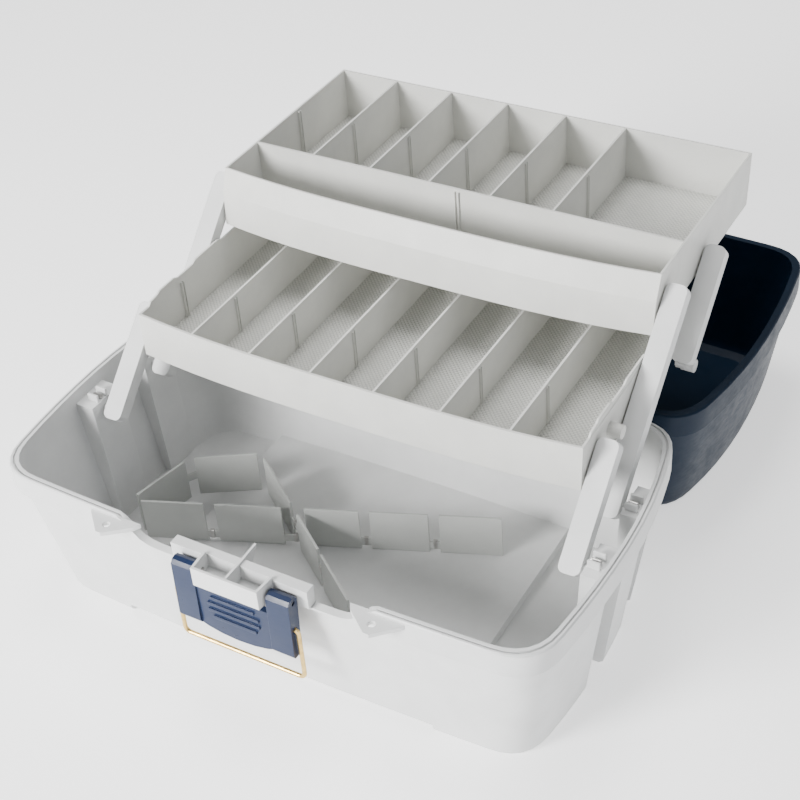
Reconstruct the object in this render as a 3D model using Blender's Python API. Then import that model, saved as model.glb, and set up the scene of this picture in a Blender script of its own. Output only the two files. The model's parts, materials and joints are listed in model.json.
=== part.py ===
"""Two-tray cantilever tackle box, shown open. Metres, +Z up, +X along the length, the latch side faces -Y."""

import math

import bmesh
import bpy
from mathutils import Matrix, Vector

for old in list(bpy.data.objects):
    bpy.data.objects.remove(old)

MM = 0.001

# ---------------------------------------------------------------- materials
PAINT = {
    "white": ((0.78, 0.78, 0.76), 0.42, 0.0),
    "tray": ((0.76, 0.76, 0.72), 0.45, 0.0),
    "grey": ((0.62, 0.63, 0.60), 0.50, 0.0),
    "navy": ((0.015, 0.045, 0.095), 0.38, 0.0),
    "blue": ((0.05, 0.09, 0.17), 0.40, 0.0),
    "brass": ((0.80, 0.62, 0.28), 0.25, 1.0),
    "steel": ((0.60, 0.60, 0.60), 0.35, 1.0),
}


def material(key):
    found = bpy.data.materials.get(key)
    if found:
        return found
    colour, rough, metal = PAINT[key]
    made = bpy.data.materials.new(key)
    made.use_nodes = True
    shader = made.node_tree.nodes["Principled BSDF"]
    shader.inputs["Base Color"].default_value = (*colour, 1.0)
    shader.inputs["Roughness"].default_value = rough
    shader.inputs["Metallic"].default_value = metal
    return made


# ---------------------------------------------------------------- solids
def solid(name, points, faces, key="white"):
    """A closed mesh from points in millimetres; the faces are turned outward."""
    mesh = bpy.data.meshes.new(name)
    work = bmesh.new()
    verts = [work.verts.new(Vector(p) * MM) for p in points]
    for face in faces:
        work.faces.new([verts[i] for i in face])
    bmesh.ops.recalc_face_normals(work, faces=work.faces)
    work.to_mesh(mesh)
    work.free()
    mesh.materials.append(material(key))
    obj = bpy.data.objects.new(name, mesh)
    bpy.context.scene.collection.objects.link(obj)
    return obj


def loft(name, rings, key="white"):
    count = len(rings[0])
    points = [p for ring in rings for p in ring]
    faces = [list(range(count))[::-1], [len(points) - count + i for i in range(count)]]
    for r in range(len(rings) - 1):
        for i in range(count):
            j = (i + 1) % count
            faces.append([r * count + i, r * count + j, (r + 1) * count + j, (r + 1) * count + i])
    return solid(name, points, faces, key)


def prism(name, axis, outline, low, high, key="white"):
    """An outline swept along an axis. The outline's pair is the other two axes, in X, Y, Z order."""

    def place(a, b, c):
        return {"x": (c, a, b), "y": (a, c, b), "z": (a, b, c)}[axis]

    return loft(name, [[place(a, b, low) for a, b in outline], [place(a, b, high) for a, b in outline]],
        key)


def box(name, x, y, z, key="white"):
    return prism(name, "z", [(x[0], y[0]), (x[1], y[0]), (x[1], y[1]), (x[0], y[1])], z[0], z[1], key)


def rod(name, axis, centre, radius, low, high, key="white", sides=20):
    turn = 2 * math.pi / sides
    outline = [(centre[0] + radius * math.cos(turn * i),
        centre[1] + radius * math.sin(turn * i)) for i in range(sides)]
    return prism(name, axis, outline, low, high, key)


def paint(obj, key):
    """One material for the whole object, whatever its cutters brought along."""
    obj.data.materials.clear()
    obj.data.materials.append(material(key))
    return obj


def combine(target, tools, operation):
    for tool in tools:
        change = target.modifiers.new("change", "BOOLEAN")
        change.operation = operation
        change.solver = "EXACT"
        change.object = tool
        bpy.context.view_layer.update()
        graph = bpy.context.evaluated_depsgraph_get()
        mesh = bpy.data.meshes.new_from_object(target.evaluated_get(graph))
        target.modifiers.clear()
        target.data = mesh
        bpy.data.objects.remove(tool)
    return target


def cut(target, *tools):
    return combine(target, tools, "DIFFERENCE")


def join(target, *tools):
    return combine(target, tools, "UNION")


def place(obj, matrix):
    obj.data.transform(matrix)
    return obj


def mirror_x(obj, name):
    """A copy on the other side of the middle plane."""
    mesh = obj.data.copy()
    mesh.transform(Matrix.Scale(-1, 4, (1, 0, 0)))
    mesh.flip_normals()
    twin = bpy.data.objects.new(name, mesh)
    bpy.context.scene.collection.objects.link(twin)
    return twin


# ---------------------------------------------------------------- plan curve of tub and lid
REAR_BOW = 1.7  # the ends draw in more towards the hinges than towards the latch


def plan(z, a, b, radius, bow_end=10.0, bow_side=5.0, corner=6):
    """Half length a and half depth b at the middles; sides and ends bow out, corners are round."""
    xs = [-(a - bow_end - radius) + 2 * (a - bow_end - radius) * i / 12 for i in range(13)]
    ys = [-(b - bow_side - radius) + 2 * (b - bow_side - radius) * i / 8 for i in range(9)]
    front = [(x, -(b - bow_side * (x / a) ** 2)) for x in xs]
    right = [(a - bow_end * (REAR_BOW if y > 0 else 1.0) * (y / b) ** 2, y) for y in ys]
    back = [(-x, -y) for x, y in front]
    left = [(-x, y) for x, y in right[::-1]]
    ring = []
    reach, rear_reach, side = a - 0.8 * bow_end, a - 0.8 * bow_end * REAR_BOW, b - 0.8 * bow_side
    knees = [(reach, -side), (rear_reach, side), (-rear_reach, side), (-reach, -side)]
    sides = [front, right, back, left]
    for side, k, after in zip(sides, knees, sides[1:] + sides[:1]):
        ring += side
        p, q = side[-1], after[0]
        for i in range(1, corner):
            t = i / corner
            ring.append(tuple((1 - t) ** 2 * p[n] + 2 * t * (1 - t) * k[n] + t * t * q[n] for n in (0, 1)))
    return [(x, y, z) for x, y in ring]


RIM = 113.3

# ---------------------------------------------------------------- tub
tub = loft("base_tub", [
    plan(0.0, 186.5, 97.5, 24), plan(2.5, 189.5, 100.0, 25), plan(95.0, 202.5, 113.0, 27),
    plan(95.6, 206.0, 116.5, 28), plan(112.3, 206.0, 116.5, 28), plan(RIM, 205.2, 115.7, 28)])
cut(tub, box("t", (-118, 118), (-140, 140), (-5, 7)))
POCKETS = ((-25.0, 0.0), (34.0, 58.0))
for s in (1, -1):
    for low, high in POCKETS:
        cut(tub, prism("t", "y", [(s * 181.0, -5), (s * 187.6, 93), (s * 240, 93), (s * 240, -5)], low,
            high))
hollow = loft("hollow", [
    plan(2.6, 186.4, 96.9, 22), plan(6.0, 187.6, 98.2, 24), plan(95.0, 200.2, 110.7, 25), plan(140.0,
        201.4, 112.0, 26)])
cut(hollow, box("t", (-120.5, 120.5), (-140, 140), (0, 9.6)))
for s in (1, -1):
    for low, high in POCKETS:
        cut(hollow, prism("t", "y", [(s * 178.2, -5), (s * 185.2, 104), (s * 240, 104), (s * 240, -5)],
            low - 2.4, high + 2.4))
cut(tub, hollow)
# groove round the rim, and the dip in the front wall behind the latch
groove = loft("groove", [plan(111.6, 204.0, 114.5, 27), plan(120, 204.0, 114.5, 27)])
cut(groove, loft("t", [plan(100, 202.8, 113.4, 26.5), plan(130, 202.8, 113.4, 26.5)]))
cut(tub, groove)
DIP = [(-97, 125), (-95, 113.4), (-90, 111), (-84, 105.5), (-78, 100), (-72, 97.8), (-66, 97.2)]
cut(tub, prism("t", "y", DIP + [(-x, z) for x, z in DIP[::-1]], -140, -100))
# padlock tabs, hinge knuckles


def padlock_tab(s, low, high):
    """A pointed tab on the right (s = 1) or left of the latch, with a hole through it."""
    outline = [(77, -113), (117, -112), (113, -117.5), (99.5, -130.5), (96, -130.5), (80, -118)]
    tab = prism("t", "z", [(s * x, y) for x, y in outline], low, high)
    return cut(tab, rod("t", "z", (s * 97, -122.5), 2.6, low - 5, high + 5))


HINGE = (122.0, 109.0)
for s in (1, -1):
    join(tub, padlock_tab(s, 108.0, 111.0))
    low, high = (101.0, 110.0) if s > 0 else (-110.0, -101.0)
    lug = prism("t", "x", [(114.2, 97.5), (117.5, 98.5), (126.0, 106.5), (126.2, 110.6), (123.8, 113.0),
        (120.4, 113.2), (117.0, 110.5), (114.2, 110.5)], low, high)
    cut(lug, rod("t", "x", HINGE, 2.1, low - 5, high + 5))
    join(tub, lug)
# holes for the arms' pins
FOOT = ((-14.5, 97.0), (42.0, 97.0))
for s in (1, -1):
    for foot in FOOT:
        cut(tub, rod("t", "x", foot, 2.6, *sorted((s * 180.0, s * 192.0))))

# ---------------------------------------------------------------- lid, modelled shut and then laid open
TOP = 113.6
lid = loft("lid_shell", [
    plan(TOP, 205.2, 115.7, 28), plan(TOP + 1.0, 206.0, 116.5, 28), plan(TOP + 18, 206.0, 116.5,
        28), plan(TOP + 18.6, 202.5, 113.0, 27),
    plan(TOP + 92, 191.5, 104.0, 26), plan(TOP + 98, 189.0, 101.5, 26), plan(TOP + 102, 183.0, 95.5, 24)])
inner = loft("inner", [
    plan(80, 201.4, 112.0, 26), plan(TOP + 18, 200.2, 110.7, 25), plan(TOP + 91, 189.2, 101.7,
        24), plan(TOP + 96, 187.0, 99.5, 24),
    plan(TOP + 99.7, 182.0, 94.5, 22)])
cut(inner, box("t", (-76.3, 76.3), (-27.3, 15.3), (TOP + 92.7, 300)))
cut(lid, inner)
cut(lid, box("t", (-74, 74), (-25, 13), (TOP + 95.0, 300)))
for s in (1, -1):
    join(lid, padlock_tab(s, 114.6, 117.6))
    low, high = (110.5, 119.5) if s > 0 else (-119.5, -110.5)
    lug = prism("t", "x", [(117.3, 109.0), (119.0, 106.2), (122.0, 104.8), (125.0, 106.2), (126.2, 109.0),
        (126.0, 113.0), (119.5, 122.0), (114.0, 124.0), (114.0, 114.4), (117.3, 114.0)], low, high)
    cut(lug, rod("t", "x", HINGE, 2.1, low - 5, high + 5))
    join(lid, lug)
# tongues that close the dip in the tub's front wall on both sides of the latch
TONGUE = [(51.2, 98.3), (65.6, 98.3), (71.6, 99.0), (77.0, 101.2), (82.8, 106.4), (88.8, 112.0), (92.6, 114.4),
    (92.6, 120.0), (51.2, 120.0)]
for s in (1, -1):
    join(lid, prism("t", "y", [(s * x, z) for x, z in TONGUE], -112.3, -110.3))
# catch lip for the bail
join(lid, prism("t", "x", [(-114.5, 116.0), (-119.8, 117.0), (-121.0, 118.6), (-119.8, 119.6),
    (-114.5, 124.0)], -42, 42))
# the holes for the carry handle's pins, in the ends of the recess
HANDLE = (8.0, TOP + 98.4)
for s in (1, -1):
    cut(lid, rod("t", "x", HANDLE, 1.3, *sorted((s * 70.0, s * 80.0)), sides=12))

# ---------------------------------------------------------------- carry handle, modelled folded in the recess
EYE = 2.8
grip = prism("carry_handle", "z", [
    (-70, -21.5), (-64, -22.2), (-30, -22.2), (30, -22.2), (64, -22.2), (70, -21.5), (73, -16), (73,
        HANDLE[0]), (62.5, HANDLE[0]),
    (62.5, -10.8), (59.5, -13.2), (-59.5, -13.2), (-62.5, -10.8), (-62.5, HANDLE[0]), (-73,
        HANDLE[0]), (-73, -16)],
    HANDLE[1] - EYE, HANDLE[1] + EYE, "navy")
for s in (1, -1):
    join(grip, rod("t", "x", HANDLE, EYE, *sorted((s * 62.5, s * 73.0))))
    cut(grip, rod("t", "x", HANDLE, 1.3, *sorted((s * 60.0, s * 75.0)), sides=12))
pins = []
for s, side in ((1, "right"), (-1, "left")):
    pins.append(rod("handle_pin_" + side, "x", HANDLE, 1.2, *sorted((s * 64.0, s * 76.0)), "steel", 12))

for side, low, high in (("right", 99.0, 121.5), ("left", -121.5, -99.0)):
    rod("hinge_pin_" + side, "x", HINGE, 2.0, low, high, "steel")

axis = Vector((0, HINGE[0], HINGE[1])) * MM
laid_open = Matrix.Translation(axis) @ Matrix.Rotation(-math.pi, 4, "X") @ Matrix.Translation(-axis)
for obj in [lid, grip] + pins:
    place(obj, laid_open)
for obj in (lid, grip):
    paint(obj, "navy")


# ---------------------------------------------------------------- trays
def front_line(x, y, bow):
    return y - bow * (1 - abs(x / 166.5) ** 3)


def tray_ring(z, front, rear, half, bow):
    xs = [-half + 2 * half * i / 16 for i in range(17)]
    return [(x, front_line(x, front, bow), z) for x in xs] + [(half, rear, z), (-half, rear, z)]


HALF = 166.5
LEAN = math.radians(45.5)
UP = (math.sin(LEAN), math.cos(LEAN))
REACH_LOW, REACH_HIGH = 72.0, 68.0


def along(point, distance):
    return (point[0] + UP[0] * distance, point[1] + UP[1] * distance)


M1 = along(FOOT[0], REACH_LOW)
M2 = along(FOOT[1], REACH_LOW)
U1 = along(M2, REACH_HIGH)
M3 = (162.5, 135.5)
U2 = along(M3, REACH_HIGH)

# upper tray
U_LOW, U_TOP = 172.4, 214.0
upper = loft("upper_tray", [
    tray_ring(U_LOW, 125.5, 298.0, 165.6, 9.5), tray_ring(197.0, 127.9, 298.4, 166.2,
        8.5), tray_ring(U_TOP, 134.5, 298.7, HALF, 8.0)], "tray")
cells = [-164.9, -117.4, -70.0, -22.6, 24.9, 72.3, 164.9]
for left, right in zip(cells, cells[1:]):
    a = left + (0.8 if left > -164 else 0)
    b = right - (0.8 if right < 164 else 0)
    cut(upper, loft("t", [[(x, y, U_LOW + 2.0 if z < 1 else 230.0) for x,
        y in ((a, 176.0), (b, 176.0), (b, 297.0), (a, 297.0))] for z in (0, 1)]))
bin_ = loft("t", [tray_ring(U_LOW + 2.0, 127.6, 174.0, 163.9, 9.3),
    tray_ring(197.0, 129.9, 174.0, 164.5, 8.3), tray_ring(216.0, 136.6, 174.0, 164.9, 7.8)])
cut(upper, bin_)
# rib pairs that take loose dividers
for x in cells[1:-1] + [-164.9]:
    for s in (1, -1):
        if x < -160 and s < 0:
            continue
        x0 = x + s * (0.4 if x > -160 else -0.4)
        for y in (228.0, 230.4):
            join(upper, box("t", sorted((x0, x + s * 1.9)), (y, y + 0.9),
                (U_LOW + 1.0, U_TOP - 2.5 if x > -160 else U_TOP - 1.5)))
for x in (-1.9, 0.9):
    join(upper, box("t", (x, x + 1.0), (172.6, 174.6), (U_LOW + 1.0, U_TOP - 2.0)))
for s in (1, -1):
    for spot in (U1, U2):
        join(upper, rod("t", "x", spot, 3.0, *sorted((s * 165.4, s * 171.5))))

# lower tray
L_LOW, L_TOP = 128.4, 161.6
lower = loft("lower_tray", [tray_ring(L_LOW, 16.2, 180.4, 165.9, 7.5),
    tray_ring(L_TOP, 17.0, 181.0, HALF, 7.5)], "tray")
for s in (1, -1):
    ends = [(26, 160), (30, 164.0), (38, 165.0), (41, 166.6), (58, 166.6), (62, 164.6), (80, 164.6),
        (84, 166.6), (112, 166.6), (116, 164.6), (140, 164.6), (144, 166.2), (178.0, 166.2), (178.0, 160)]
    join(lower, prism("t", "x", ends, *sorted((s * 164.7, s * 166.3))))
cells = [-164.9, -119.2, -71.4, -23.7, 24.1, 71.8, 119.5, 164.9]
for left, right in zip(cells, cells[1:]):
    a = left + (0.8 if left > -164 else 0)
    b = right - (0.8 if right < 164 else 0)
    count = 5
    xs = [a + (b - a) * i / (count - 1) for i in range(count)]
    rings = []
    for z in (L_LOW + 2.0, 190.0):
        rings.append([(x, front_line(x, 18.9, 7.4), z) for x in xs] + [(b, 179.3, z), (a, 179.3, z)])
    cut(lower, loft("t", rings))
for x in cells[1:-1] + [-164.9]:
    for s in (1, -1):
        if x < -160 and s < 0:
            continue
        x0 = x + s * (0.4 if x > -160 else -0.4)
        for y in (63.0, 65.4):
            join(lower, box("t", sorted((x0, x + s * 1.9)), (y, y + 0.9), (L_LOW + 1.0, L_TOP - 2.0)))
for s in (1, -1):
    for spot in (M1, M2, M3):
        join(lower, rod("t", "x", spot, 3.0, *sorted((s * 165.4, s * 171.5))))
    join(lower, rod("t", "x", (57.0, 147.2), 4.6, *sorted((s * 165.4, s * 175.5))))


# ---------------------------------------------------------------- arms: channels, web to the front
def rounded(left, right, low, high, radius, steps=5):
    """A rectangle with round corners."""
    outline = []
    for cx, cy, start in ((right, high, 0), (left, high, 90), (left, low, 180), (right, low, 270)):
        mx = cx - math.copysign(radius, cx - (left + right) / 2)
        my = cy - math.copysign(radius, cy - (low + high) / 2)
        for i in range(steps + 1):
            turn = math.radians(start + 90 * i / steps)
            outline.append((mx + radius * math.cos(turn), my + radius * math.sin(turn)))
    return outline


def arm(name, foot, length, holes_in, holes_out, extra=None):
    outline = [(5.0, -7.0), (5.0, length + 7.0), (-3.0, length + 7.0), (-5.0, length + 5.0), (-5.0, -5.0),
        (-3.0, -7.0)]
    body = loft(name, [[(x, -n, s) for n, s in outline] for x in (167.3, 181.8)])
    cut(body, box("t", (169.1, 180.0), (-3.0, 12.0), (-5.2, length + 5.2)))
    combine(body, [prism("t", "y", rounded(167.3, 181.8, -7.0, length + 7.0, 4.5), -20.0, 20.0)],
        "INTERSECT")
    if extra:
        join(body, *extra())
    for s in holes_in:
        cut(body, rod("t", "x", (0.0, s), 3.1, 160.0, 174.0))
    for s in holes_out:
        cut(body, rod("t", "x", (0.0, s), 2.6, 176.0, 190.0))
    paint(body, "white")
    lean = Matrix.Translation(Vector((0, foot[0], foot[1])) * MM) @ Matrix.Rotation(-LEAN, 4, "X")
    place(body, lean)
    return body


def lid_lug():
    return [
        prism("t", "x", [(3.5, -3.5), (3.5, 5.0), (12.0, -1.0), (11.0, -9.0), (7.0, -8.0)], 168.2, 176.0),
        rod("t", "x", (11.5, -5.0), 4.6, 172.0, 181.0),
    ]


front_arm = arm("front_arm_right", FOOT[0], REACH_LOW, [REACH_LOW], [0.0])
mirror_x(front_arm, "front_arm_left")
rear_arm = arm("rear_arm_right", FOOT[1], REACH_LOW + REACH_HIGH, [REACH_LOW, REACH_LOW + REACH_HIGH],
    [0.0])
mirror_x(rear_arm, "rear_arm_left")
upper_arm = arm("upper_arm_right", M3, REACH_HIGH, [0.0, REACH_HIGH], [], lid_lug)
mirror_x(upper_arm, "upper_arm_left")
for side, s in (("right", 1), ("left", -1)):
    for end, foot in (("front", FOOT[0]), ("rear", FOOT[1])):
        rod("%s_pivot_pin_%s" % (end, side), "x", foot, 2.5, *sorted((s * 177.0, s * 191.5)), "white")

# ---------------------------------------------------------------- latch
STRIP_TOP, FIN_TOP = 111.4, 112.9
housing = box("latch_housing", (-50, 50), (-118.2, -110.6), (97.6, STRIP_TOP))
cut(housing, box("t", (-47.6, 47.6), (-116.0, -112.6), (90, STRIP_TOP - 2.2)))
join(housing, prism("t", "z", [(-25.6, -117.5), (-24.2, -133.0), (24.2, -133.0), (25.6, -117.5)], 98.8, RIM))
cut(housing, prism("t", "z", [(-23.6, -116.8), (-22.6, -131.2), (22.6, -131.2), (23.6, -116.8)], 100.8, 130))
join(housing, box("t", (-0.8, 0.8), (-132.0, -111.0), (100.0, FIN_TOP)))
join(housing, prism("t", "x", [(-112.0, 99.0), (-112.0, FIN_TOP), (-97.5, RIM), (-107.0, 99.0)], -0.8, 0.8))
PIVOT = (-123.6, 104.4)
for s in (1, -1):
    cut(housing, rod("t", "x", PIVOT, 1.7, *sorted((s * 18.0, s * 26.4)), sides=16))

def lever_side(s):
    outline = [(-119.6, 96.0), (-119.6, 105.5), (-121.2, 108.0), (-124.0, 109.0), (-127.0, 108.2),
        (-129.0, 105.6), (-130.2, 64.0), (-129.0, 61.5), (-123.0, 61.5), (-121.6, 63.5)]
    return prism("latch_lever", "x", outline, *sorted((s * 26.6, s * 43.0)), "blue")


lever = lever_side(1)
join(lever, lever_side(-1))
plate = prism("t", "y", [(-28, 93.0), (-28, 62.0), (-22, 59.6), (-12, 57.4), (0, 56.6), (12, 57.4),
    (22, 59.6), (28, 62.0), (28, 93.0)], -128.6, -124.2, "blue")
join(lever, plate)
for z, half in ((87.0, 16.0), (81.5, 19.0), (76.0, 19.0), (70.5, 16.0)):
    join(lever, box("t", (-half, half), (-129.6, -128.0), (z, z + 2.2)))
for s in (1, -1):
    cut(lever, rod("t", "x", PIVOT, 1.7, *sorted((s * 20.0, s * 46.0)), sides=16))
BAIL = (-125.6, 83.5)
for s in (1, -1):
    cut(lever, rod("t", "x", BAIL, 1.95, *sorted((s * 36.0, s * 46.0)), sides=16))
paint(lever, "blue")
for side, s in (("right", 1), ("left", -1)):
    rod("latch_pin_" + side, "x", PIVOT, 1.6, *sorted((s * 22.6, s * 42.0)), "steel", 16)


def wire(name, path, radius, key, sides=12):
    """A round wire along a path of straight runs that each lie in a plane of constant Y."""
    rings = []
    for i, p in enumerate(path):
        before = Vector(path[max(i - 1, 0)])
        after = Vector(path[min(i + 1, len(path) - 1)])
        here = Vector(p)
        a = (here - before).normalized() if i else (after - here).normalized()
        b = (after - here).normalized() if i < len(path) - 1 else a
        tangent = (a + b).normalized()
        side = Vector((0, 1, 0))
        up = side.cross(tangent).normalized()
        stretch = 1 / max(tangent.dot(a), 0.5)
        turns = [2 * math.pi * k / sides for k in range(sides)]
        rings.append([tuple(here + radius * (side * math.cos(t) + up * stretch * math.sin(t))) for t in turns])
    return loft(name, rings, key)


def bail_half():
    x, z, low, bend = 45.3, BAIL[1], 42.0, 4.0
    pts = [(38.0, z), (x - 2.4, z), (x - 0.7, z - 0.7), (x, z - 2.4), (x, low + bend)]
    pts += [(x - bend + bend * math.cos(t), low + bend - bend * math.sin(t)) for t in (math.radians(22.5),
        math.radians(45), math.radians(67.5), math.radians(90))]
    return pts


half = bail_half()
wire("latch_bail", [(x, BAIL[0], z) for x, z in half] + [(-x, BAIL[0], z) for x, z in half[::-1]], 1.5,
    "brass")


# ---------------------------------------------------------------- rack panels that stand in the tub
def rack(name, runs, links):
    """Thin upright panels along straight runs, joined by low strips."""

    def bar(p, q, z0, z1, half):
        d = Vector((q[0] - p[0], q[1] - p[1])).normalized()
        n = (-d.y * half, d.x * half)
        return prism(name, "z", [(p[0] + n[0], p[1] + n[1]), (p[0] - n[0], p[1] - n[1]),
            (q[0] - n[0], q[1] - n[1]), (q[0] + n[0], q[1] + n[1])], z0, z1, "grey")

    body = None
    for p, q in runs:
        piece = bar(p, q, 9.9, 44.0, 0.9)
        body = piece if body is None else join(body, piece)
    for p, q, z0, z1 in links:
        body = join(body, bar(p, q, z0, z1, 0.7))
    return paint(body, "grey")


def span(p, q, t):
    return (p[0] + (q[0] - p[0]) * t, p[1] + (q[1] - p[1]) * t)


A, B = (-146.0, -40.0), (91.0, 53.0)
stops = [(0.0, 0.176), (0.209, 0.395), (0.46, 0.61), (0.64, 0.80), (0.83, 1.0)]
links = [(span(A, B, p[1] - 0.01), span(A, B, q[0] + 0.01), 13.0, 19.0) for p, q in zip(stops, stops[1:])]
rack("rack_main", [(span(A, B, a), span(A, B, b)) for a, b in stops], links)
C, D = (-92.0, 36.0), (36.0, -59.0)
stops = [(0.0, 0.335), (0.42, 0.665), (0.70, 1.0)]
links = [(span(C, D, p[1] - 0.015), span(C, D, q[0] + 0.015), 25.0, 31.0) for p, q in zip(stops, stops[1:])]
rack("rack_cross", [(span(C, D, a), span(C, D, b)) for a, b in stops], links)
rack("rack_side", [((-152.5, -36.0), (-143.0, 8.0)), ((-139.0, 14.5), (-100.0, 38.0))],
    [((-143.2, 7.0), (-138.4, 15.0), 25.0, 31.0)])

# ---------------------------------------------------------------- origins on the joint axes, smooth faces
MIDDLE = 120.75
OPEN_HANDLE = (2 * HINGE[0] - HANDLE[0], 2 * HINGE[1] - HANDLE[1])
AXES = {"lid": HINGE, "handle": OPEN_HANDLE, "lever": PIVOT, "bail": BAIL, "front_arm": FOOT[0],
        "rear_arm": FOOT[1], "lower_tray": M2, "upper_tray": U1, "upper_arm": M3}
for obj in bpy.context.scene.collection.objects:
    spot = next((at for word, at in AXES.items() if word in obj.name), (0.0, 0.0))
    origin = Vector((0.0, spot[0], spot[1])) * MM
    obj.data.transform(Matrix.Translation(-origin))
    obj.location = origin - Vector((0.0, MIDDLE, 0.0)) * MM
    obj.data.shade_smooth()
    obj.data.set_sharp_from_angle(angle=math.radians(30))
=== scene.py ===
"""Looks of an open two-tray tackle box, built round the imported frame.

Metres, +Z up, the latch side towards -Y. At rest the lid lies open behind the tub.
"""

import json
import math

import bmesh
import bpy
from mathutils import Matrix, Vector


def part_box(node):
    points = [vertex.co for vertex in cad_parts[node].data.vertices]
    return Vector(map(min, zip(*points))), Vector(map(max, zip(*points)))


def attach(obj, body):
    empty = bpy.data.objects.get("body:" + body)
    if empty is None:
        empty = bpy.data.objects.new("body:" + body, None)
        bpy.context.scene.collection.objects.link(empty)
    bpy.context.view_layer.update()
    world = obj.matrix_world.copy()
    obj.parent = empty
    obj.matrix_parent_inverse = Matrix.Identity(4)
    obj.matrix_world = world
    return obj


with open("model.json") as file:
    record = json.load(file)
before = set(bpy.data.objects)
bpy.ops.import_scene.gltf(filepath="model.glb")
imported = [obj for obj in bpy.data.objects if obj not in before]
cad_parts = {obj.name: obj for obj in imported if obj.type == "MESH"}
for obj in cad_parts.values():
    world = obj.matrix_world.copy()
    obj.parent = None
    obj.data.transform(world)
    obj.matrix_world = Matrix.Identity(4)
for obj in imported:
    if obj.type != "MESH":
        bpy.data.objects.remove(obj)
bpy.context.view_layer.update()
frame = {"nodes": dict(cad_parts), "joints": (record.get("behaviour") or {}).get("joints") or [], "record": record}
NODES = frame["nodes"]
MM = 0.001
SIDES = (("left", -1), ("right", 1))


# ---------------------------------------------------------------- material helpers
class Shader:
    """A Principled material whose nodes are added by short calls."""

    def __init__(self, name, roughness, metallic=0.0, specular=0.5):
        self.material = bpy.data.materials.new(name)
        self.material.use_nodes = True
        self.tree = self.material.node_tree
        self.main = self.tree.nodes["Principled BSDF"]
        self.main.inputs["Roughness"].default_value = roughness
        self.main.inputs["Metallic"].default_value = metallic
        self.main.inputs["Specular IOR Level"].default_value = specular
        self.place = self.node("ShaderNodeTexCoord").outputs["Object"]

    def node(self, kind, **settings):
        made = self.tree.nodes.new(kind)
        for key, value in settings.items():
            setattr(made, key, value)
        return made

    def link(self, output, socket):
        self.tree.links.new(output, socket)

    def stretched(self, scale):
        mapping = self.node("ShaderNodeMapping")
        mapping.inputs["Scale"].default_value = scale
        self.link(self.place, mapping.inputs["Vector"])
        return mapping.outputs["Vector"]

    def noise(self, scale, detail=3.0, rough=0.5, vector=None):
        made = self.node("ShaderNodeTexNoise")
        made.inputs["Scale"].default_value = scale
        made.inputs["Detail"].default_value = detail
        made.inputs["Roughness"].default_value = rough
        self.link(vector or self.place, made.inputs["Vector"])
        return made.outputs["Fac"]

    def math(self, operation, a, b=0.0):
        made = self.node("ShaderNodeMath", operation=operation)
        for socket, value in zip(made.inputs, (a, b)):
            if isinstance(value, (int, float)):
                socket.default_value = value
            else:
                self.link(value, socket)
        return made.outputs[0]

    def remap(self, value, low, high, to_low, to_high):
        made = self.node("ShaderNodeMapRange")
        self.link(value, made.inputs["Value"])
        limits = {"From Min": low, "From Max": high, "To Min": to_low, "To Max": to_high}
        for key, number in limits.items():
            made.inputs[key].default_value = number
        return made.outputs["Result"]

    def mix(self, factor, a, b):
        made = self.node("ShaderNodeMix", data_type="RGBA")
        self.link(factor, made.inputs["Factor"])
        for socket, value in ((made.inputs[6], a), (made.inputs[7], b)):
            if isinstance(value, tuple):
                socket.default_value = (*value, 1.0)
            else:
                self.link(value, socket)
        return made.outputs[2]

    def parts(self, vector):
        made = self.node("ShaderNodeSeparateXYZ")
        self.link(vector, made.inputs[0])
        return made.outputs

    def diamonds(self, pitch):
        """Height, 0 to 1, of a grid of small bumps that stands at 45 degrees to X and Y."""
        x, y, _ = self.parts(self.place)
        waves = []
        for turned in (self.math("ADD", x, y), self.math("SUBTRACT", x, y)):
            angle = self.math("MULTIPLY", turned, math.pi / (pitch * math.sqrt(2)))
            waves.append(self.math("ABSOLUTE", self.math("SINE", angle)))
        return self.math("MULTIPLY", *waves)

    def edge(self, radius):
        """(normal rounded over the edges, how far it leans from the face's own, 0 to 1)."""
        rounded = self.node("ShaderNodeBevel", samples=4)
        rounded.inputs["Radius"].default_value = radius
        facing = self.node("ShaderNodeVectorMath", operation="DOT_PRODUCT")
        self.link(rounded.outputs[0], facing.inputs[0])
        self.link(self.node("ShaderNodeNewGeometry").outputs["Normal"], facing.inputs[1])
        return rounded.outputs[0], self.remap(facing.outputs["Value"], 1.0, 0.75, 0.0, 1.0)

    def bump(self, height, distance, strength, below=None):
        made = self.node("ShaderNodeBump")
        made.inputs["Strength"].default_value = strength
        made.inputs["Distance"].default_value = distance
        self.link(height, made.inputs["Height"])
        if below is not None:
            self.link(below, made.inputs["Normal"])
        return made.outputs["Normal"]

    def finish(self, colour=None, roughness=None, normal=None):
        for key, output in (("Base Color", colour), ("Roughness", roughness), ("Normal", normal)):
            if output is not None:
                self.link(output, self.main.inputs[key])
        return self.material


def scaled(colour, by):
    """The colour made lighter or darker, cut off at white."""
    return tuple(min(1.0, c * by) for c in colour)


EDGE_RADIUS = 0.5 * MM
STIPPLE_PITCH = 2.3 * MM
STIPPLE_DEPTH = 0.5 * MM
FLOOR_BAND = 0.4 * MM  # how far from a floor's height a face may lie and still be stippled
FLOOR_NORMAL = 0.9  # faces that point up at least this much count as floor


def stipple(s, height):
    """(where a material shows the tray floor at this height, height of the stipple there)."""
    geometry = s.node("ShaderNodeNewGeometry")
    upward = s.math("GREATER_THAN", s.parts(geometry.outputs["Normal"])[2], FLOOR_NORMAL)
    level = s.parts(s.place)[2]
    off = s.math("ABSOLUTE", s.math("SUBTRACT", level, height))
    zone = s.math("MULTIPLY", upward, s.math("LESS_THAN", off, FLOOR_BAND))
    return zone, s.diamonds(STIPPLE_PITCH)


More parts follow.
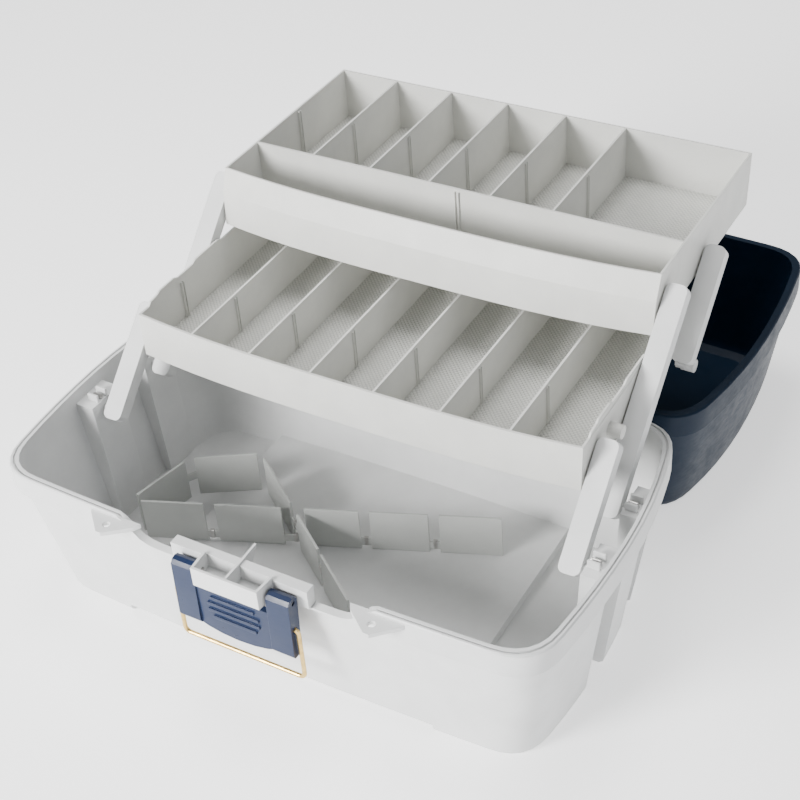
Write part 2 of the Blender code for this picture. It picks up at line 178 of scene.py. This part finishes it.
def moulded(name, colour, roughness, worn=1.15, grime=0.93, specular=0.4, floors=()):
    """Moulded plastic: faint mottling, fine grain, handling marks and lighter edges.

    worn lightens the edges and grime darkens the mottling. The floors, given by their heights,
    are stippled, and painted shade darkens the hollows of the stipple.
    """
    s = Shader(name, roughness, 0.0, specular)
    rounded, edges = s.edge(EDGE_RADIUS)
    mottling = s.remap(s.noise(35, 4, 0.6), 0.35, 0.65, 0, 1)
    mottled = s.mix(mottling, scaled(colour, grime), colour)
    handled = s.math("MULTIPLY", edges, s.noise(120, 2))
    wear_and_shade_colour = s.mix(handled, mottled, scaled(colour, worn))
    marks = s.noise(1.0, 5, 0.65, s.stretched((90, 140, 420)))
    dull = s.math("ADD", s.noise(60, 4, 0.6), marks)
    rough = s.remap(dull, 0.7, 1.3, roughness - 0.08, roughness + 0.10)
    normal = s.bump(s.noise(1800, 2), 0.02 * MM, 0.8, rounded)
    for height in floors:
        zone, diamonds = stipple(s, height)
        normal = s.bump(s.math("MULTIPLY", zone, diamonds), STIPPLE_DEPTH, 0.9, normal)
        # painted shade in the stipple's hollows: the colour there, which also carries the edge wear, is darkened
        # down to 0.60
        painted_hollow_shade = s.math("MULTIPLY", zone, s.remap(diamonds, 0.0, 0.45, 0.75, 0.0))
        wear_and_shade_colour = s.mix(painted_hollow_shade, wear_and_shade_colour, scaled(colour, 0.60))
    return s.finish(wear_and_shade_colour, rough, normal)


def brass_wire():
    """Bright wire, drawn along X."""
    s = Shader("brass_wire", 0.34, 1.0)
    mottling = s.remap(s.noise(220, 4, 0.6), 0.4, 0.7, 0, 1)
    colour = s.mix(mottling, (0.70, 0.50, 0.19), (0.52, 0.35, 0.12))
    drawn = s.noise(1.0, 3, 0.5, s.stretched((300, 2500, 2500)))
    rough = s.remap(s.noise(300, 3), 0.3, 0.7, 0.28, 0.42)
    return s.finish(colour, rough, s.bump(drawn, 0.03 * MM, 0.5))


def steel_pin():
    """Steel with fine lines along X."""
    s = Shader("steel_pin", 0.35, 1.0)
    colour = s.mix(s.noise(260, 4, 0.6), (0.62, 0.61, 0.59), (0.42, 0.41, 0.40))
    turned = s.noise(1.0, 2, 0.5, s.stretched((200, 3000, 3000)))
    rough = s.remap(s.noise(400, 3), 0.3, 0.7, 0.26, 0.44)
    return s.finish(colour, rough, s.bump(turned, 0.03 * MM, 0.6))


def floor_paint():
    """Pale floor that glows a little, as in a lightbox."""
    s = Shader("floor_paint", 0.75, 0.0, 0.2)
    s.main.inputs["Emission Color"].default_value = (1.0, 1.0, 1.0, 1.0)
    s.main.inputs["Emission Strength"].default_value = 1.0
    colour = s.mix(s.noise(3, 3), (0.90, 0.90, 0.90), (0.94, 0.94, 0.94))
    return s.finish(colour, None, s.bump(s.noise(900, 2), 0.04 * MM, 0.3))


TRAY_FLOOR = 2.0 * MM
TRAY_FLOORS = tuple(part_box(tray)[0].z + TRAY_FLOOR for tray in ("upper_tray", "lower_tray"))
WHITE, TRAY_WHITE = (0.70, 0.705, 0.70), (0.70, 0.70, 0.665)
GREY = (0.52, 0.53, 0.51)
NAVY, BLUE = (0.0035, 0.013, 0.030), (0.004, 0.014, 0.050)
LOOKS = {
    "housing_white": moulded("housing_white", WHITE, 0.36),
    "tray_white": moulded("tray_white", TRAY_WHITE, 0.40, floors=TRAY_FLOORS),
    "rack_grey": moulded("rack_grey", GREY, 0.50),
    "lid_navy": moulded("lid_navy", NAVY, 0.42, worn=1.9, grime=0.92, specular=0.16),
    "latch_blue": moulded("latch_blue", BLUE, 0.34, worn=2.0, grime=0.88, specular=0.3),
    "wire_brass": brass_wire(),
    "pin_steel": steel_pin(),
}


# ---------------------------------------------------------------- smoothing
MERGE_DISTANCE = 0.01 * MM
ROUND_ANGLE = math.radians(28)
CREASE_ANGLE = math.radians(5)
CREASED_NODES = ("upper_tray", "lower_tray")  # their fronts keep a faint crease


def smooth_by_angle(angle):
    """Modifier group: joins a mesh's split corners and shades it smooth except at edges
    that turn by more than the angle."""
    group = bpy.data.node_groups.new("smooth_by_angle", "GeometryNodeTree")
    group.interface.new_socket("Geometry", in_out="INPUT", socket_type="NodeSocketGeometry")
    group.interface.new_socket("Geometry", in_out="OUTPUT", socket_type="NodeSocketGeometry")
    source = group.nodes.new("NodeGroupInput")
    target = group.nodes.new("NodeGroupOutput")
    merge = group.nodes.new("GeometryNodeMergeByDistance")
    merge.inputs["Distance"].default_value = MERGE_DISTANCE
    faces = group.nodes.new("GeometryNodeSetShadeSmooth")
    edges = group.nodes.new("GeometryNodeSetShadeSmooth")
    edges.domain = "EDGE"
    corner = group.nodes.new("GeometryNodeInputMeshEdgeAngle")
    gentle = group.nodes.new("FunctionNodeCompare")
    gentle.operation = "LESS_THAN"
    gentle.inputs[1].default_value = angle
    group.links.new(corner.outputs["Unsigned Angle"], gentle.inputs[0])
    group.links.new(gentle.outputs[0], edges.inputs["Shade Smooth"])
    group.links.new(source.outputs[0], merge.inputs["Geometry"])
    group.links.new(merge.outputs["Geometry"], faces.inputs["Geometry"])
    group.links.new(faces.outputs["Geometry"], edges.inputs["Geometry"])
    group.links.new(edges.outputs["Geometry"], target.inputs[0])
    return group


ROUND = smooth_by_angle(ROUND_ANGLE)
CREASED = smooth_by_angle(CREASE_ANGLE)


def smooth(obj):
    """Smooth shading with normals weighted by face size, so that flat walls stay flat."""
    group = CREASED if obj.name in CREASED_NODES else ROUND
    obj.modifiers.new("smooth", "NODES").node_group = group
    weighted = obj.modifiers.new("weighted", "WEIGHTED_NORMAL")
    weighted.keep_sharp = True
    weighted.weight = 100
    return obj


for entry in frame["record"]["subparts"]:
    node = NODES[entry["node"]]
    node.data.materials.clear()
    node.data.materials.append(LOOKS[entry["material_slot"]])
    smooth(node)


# ---------------------------------------------------------------- piece helpers
def piece(name, slot, body, points, faces, bevel):
    """A closed mesh in metres that rides on a body, with its edges rounded by bevel."""
    mesh = bpy.data.meshes.new(name)
    work = bmesh.new()
    verts = [work.verts.new(p) for p in points]
    for face in faces:
        work.faces.new([verts[i] for i in face])
    bmesh.ops.recalc_face_normals(work, faces=work.faces)
    work.to_mesh(mesh)
    work.free()
    mesh.materials.append(LOOKS[slot])
    obj = bpy.data.objects.new(name, mesh)
    bpy.context.scene.collection.objects.link(obj)
    if bevel:
        rounding = obj.modifiers.new("bevel", "BEVEL")
        rounding.width = bevel
        rounding.segments = 2
        rounding.limit_method = "ANGLE"
    smooth(obj)
    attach(obj, body)
    return obj


def sweep(name, slot, body, rings, bevel=0.0):
    """Rings of the same count, joined in order and closed at both ends."""
    count = len(rings[0])
    points = [p for ring in rings for p in ring]
    faces = [list(range(count))[::-1], [len(points) - count + i for i in range(count)]]
    for r in range(len(rings) - 1):
        for i in range(count):
            j = (i + 1) % count
            near, far = r * count, (r + 1) * count
            faces.append([near + i, near + j, far + j, far + i])
    return piece(name, slot, body, points, faces, bevel)


def block(name, slot, body, low, high, bevel):
    """A box between two corners."""
    corners = ((0, 0), (1, 0), (1, 1), (0, 1))
    ends = (low, high)
    rings = [[(ends[i][0], ends[j][1], ends[k][2]) for i, j in corners] for k in (0, 1)]
    return sweep(name, slot, body, rings, bevel)


def circle(count, radius):
    """Points of a circle round the origin, as pairs."""
    turns = [2 * math.pi * i / count for i in range(count)]
    return [(radius * math.cos(t), radius * math.sin(t)) for t in turns]


def peg(name, slot, body, start, length, radius):
    """A round peg along X from start, with a chamfered far end."""
    stations = ((0.0, radius), (length * 0.86, radius), (length, radius * 0.72))
    x, y, z = start
    rings = [[(x + along, y + a, z + b) for a, b in circle(24, r)] for along, r in stations]
    return sweep(name, slot, body, rings)


def at(joint):
    """Where a joint's axis is, in the rest pose."""
    return next(Vector(j["pos_m"]) for j in frame["joints"] if j["name"] == joint)


# ---------------------------------------------------------------- details that ride on the bodies
LUG_X = (186.0 * MM, 194.5 * MM)
LUG_Z = (103.8 * MM, 109.5 * MM)
LUG_OFFSETS = {"a": -5.5 * MM, "b": 3.5 * MM}  # a lug's near face, along Y from the pivot
LUG_THICK, LUG_BEVEL = 2.0 * MM, 0.5 * MM
SNAP_START, SNAP_LENGTH = 186.5 * MM, 7.0 * MM
SNAP_HEIGHT, SNAP_RADIUS = 106.0 * MM, 1.5 * MM


def pivot_snaps():
    """Two lugs and a snap pin on the ledge beside each arm's foot."""
    for end in ("front", "rear"):
        y = at(end + "_arm_swing").y
        for side, s in SIDES:
            name = "snap_%s_%s" % (end, side)
            x = sorted(s * edge for edge in LUG_X)
            for lug, offset in LUG_OFFSETS.items():
                low = (x[0], y + offset, LUG_Z[0])
                high = (x[1], y + offset + LUG_THICK, LUG_Z[1])
                block("%s_lug_%s" % (name, lug), "housing_white", "base", low, high, LUG_BEVEL)
            start = (s * SNAP_START, y, SNAP_HEIGHT)
            peg(name + "_pin", "pin_steel", "base", start, s * SNAP_LENGTH, SNAP_RADIUS)


# Where a rack's clips sit: fractions of its length, their height, and whether the rack runs
# back to front as X grows.
RACK_GAPS = {
    "rack_main": ((0.192, 0.428, 0.625, 0.815), 16.5 * MM, False),
    "rack_cross": ((0.378, 0.682), 28.0 * MM, True),
}
CLIP_HALF, CLIP_THICK, CLIP_TALL, CLIP_BEVEL = 1.6 * MM, 1.2 * MM, 3.6 * MM, 0.4 * MM


def rack_clips():
    """Small spring clips over the low links of the straight racks."""
    for rack, (fractions, level, falling) in RACK_GAPS.items():
        low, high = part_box(rack)
        start = Vector((low.x, high.y if falling else low.y, level))
        run = Vector((high.x, low.y if falling else high.y, level)) - start
        along = run.normalized()
        across = Vector((-along.y, along.x, 0))
        for number, fraction in enumerate(fractions):
            centre = start + run * fraction
            corners = [along * a * CLIP_HALF + across * b * CLIP_THICK
                       for a, b in ((-1, -1), (1, -1), (1, 1), (-1, 1))]
            rings = [[tuple(centre + corner + Vector((0, 0, height))) for corner in corners]
                     for height in (-CLIP_TALL, CLIP_TALL)]
            sweep("%s_clip_%d" % (rack, number), "pin_steel", "base", rings, CLIP_BEVEL)


RIDGES, RIDGE_PITCH = 15, 5.0 * MM
RIDGE_HALF, RIDGE_REACH, RIDGE_BEVEL = 0.9 * MM, 0.5 * MM, 0.3 * MM
RIDGE_Y = (-7.6 * MM, -1.0 * MM)  # from the bar's outer edge


def handle_ridges():
    """Low ridges across the bar of the folded carry handle, which faces down at rest."""
    low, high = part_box("carry_handle")
    for i in range(RIDGES):
        x = (i - (RIDGES - 1) / 2) * RIDGE_PITCH
        block("handle_ridge_%d" % i, "lid_navy", "carry_handle",
              (x - RIDGE_HALF, high.y + RIDGE_Y[0], low.z - RIDGE_REACH),
              (x + RIDGE_HALF, high.y + RIDGE_Y[1], low.z + RIDGE_REACH), RIDGE_BEVEL)


BUTTON_INSET = (14.0 * MM, 22.0 * MM)  # from the tray's side and from its front
BUTTON_RINGS = ((-2.2 * MM, 2.0 * MM), (-1.6 * MM, 2.6 * MM), (0.4 * MM, 2.6 * MM))


def tray_buttons():
    """Small round stop buttons under the front corners of the lower tray."""
    low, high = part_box("lower_tray")
    y = low.y + BUTTON_INSET[1]
    for side, s in SIDES:
        x = high.x - BUTTON_INSET[0] if s > 0 else low.x + BUTTON_INSET[0]
        rings = [[(x + a, y + b, low.z + height) for a, b in circle(20, radius)]
                 for height, radius in BUTTON_RINGS]
        sweep("tray_button_" + side, "lid_navy", "lower_tray", rings)


pivot_snaps()
rack_clips()
handle_ridges()
tray_buttons()


# ---------------------------------------------------------------- camera, light, floor
YAW, PITCH, ROLL = 0.56863, 0.67099, -0.08336  # radians: turned left, down and rolled
CAMERA_SPOT = (0.45909, -0.75931, 0.77378)
FOCAL_LENGTH = 70.62  # mm, on the default sensor


def camera():
    """The photograph's viewing angle."""
    flat = math.cos(PITCH)
    forward = Vector((-math.sin(YAW) * flat, math.cos(YAW) * flat, -math.sin(PITCH)))
    level = forward.cross(Vector((0, 0, 1))).normalized()
    upright = level.cross(forward)
    right = level * math.cos(ROLL) + upright * math.sin(ROLL)
    up = upright * math.cos(ROLL) - level * math.sin(ROLL)
    data = bpy.data.cameras.new("camera")
    data.lens = FOCAL_LENGTH
    data.clip_start = 0.01
    made = bpy.data.objects.new("camera", data)
    turn = Matrix((right, up, -forward)).transposed().to_4x4()
    made.matrix_world = Matrix.Translation(CAMERA_SPOT) @ turn
    bpy.context.scene.collection.objects.link(made)
    bpy.context.scene.camera = made


# name: (spot, width, power in W, aim, colour)
LIGHTS = {
    "key": ((-0.75, -1.8, 0.95), 0.8, 92, (0, 0, 0.1), (1, 1, 1)),
    "top": ((-0.3, 0.3, 2.0), 0.9, 24, (0, 0.05, 0.1), (1, 1, 1)),
    "fill": ((1.6, -0.4, 0.9), 1.2, 3, (0, 0, 0.1), (0.85, 0.9, 1.0)),
}
WORLD_COLOUR, WORLD_STRENGTH = (0.98, 0.99, 1.0, 1.0), 0.42
FLOOR_RADIUS = 6.0


def area_light(name, spot, size, power, aim, colour):
    """A round light that faces its aim."""
    data = bpy.data.lights.new(name, "AREA")
    data.shape = "DISK"
    data.size = size
    data.energy = power
    data.color = colour
    made = bpy.data.objects.new(name, data)
    made.location = spot
    made.rotation_euler = (Vector(aim) - Vector(spot)).to_track_quat("-Z", "Y").to_euler()
    bpy.context.scene.collection.objects.link(made)


def studio():
    """Soft light from the front left, a pale world and a pale round floor."""
    world = bpy.data.worlds.new("studio")
    world.use_nodes = True
    background = world.node_tree.nodes["Background"]
    background.inputs["Color"].default_value = WORLD_COLOUR
    background.inputs["Strength"].default_value = WORLD_STRENGTH
    bpy.context.scene.world = world
    for name, settings in LIGHTS.items():
        area_light(name, *settings)
    bpy.ops.mesh.primitive_circle_add(vertices=64, radius=FLOOR_RADIUS, fill_type="NGON")
    floor = bpy.context.object
    floor.name = "floor"
    floor.data.materials.append(floor_paint())


camera()
studio()
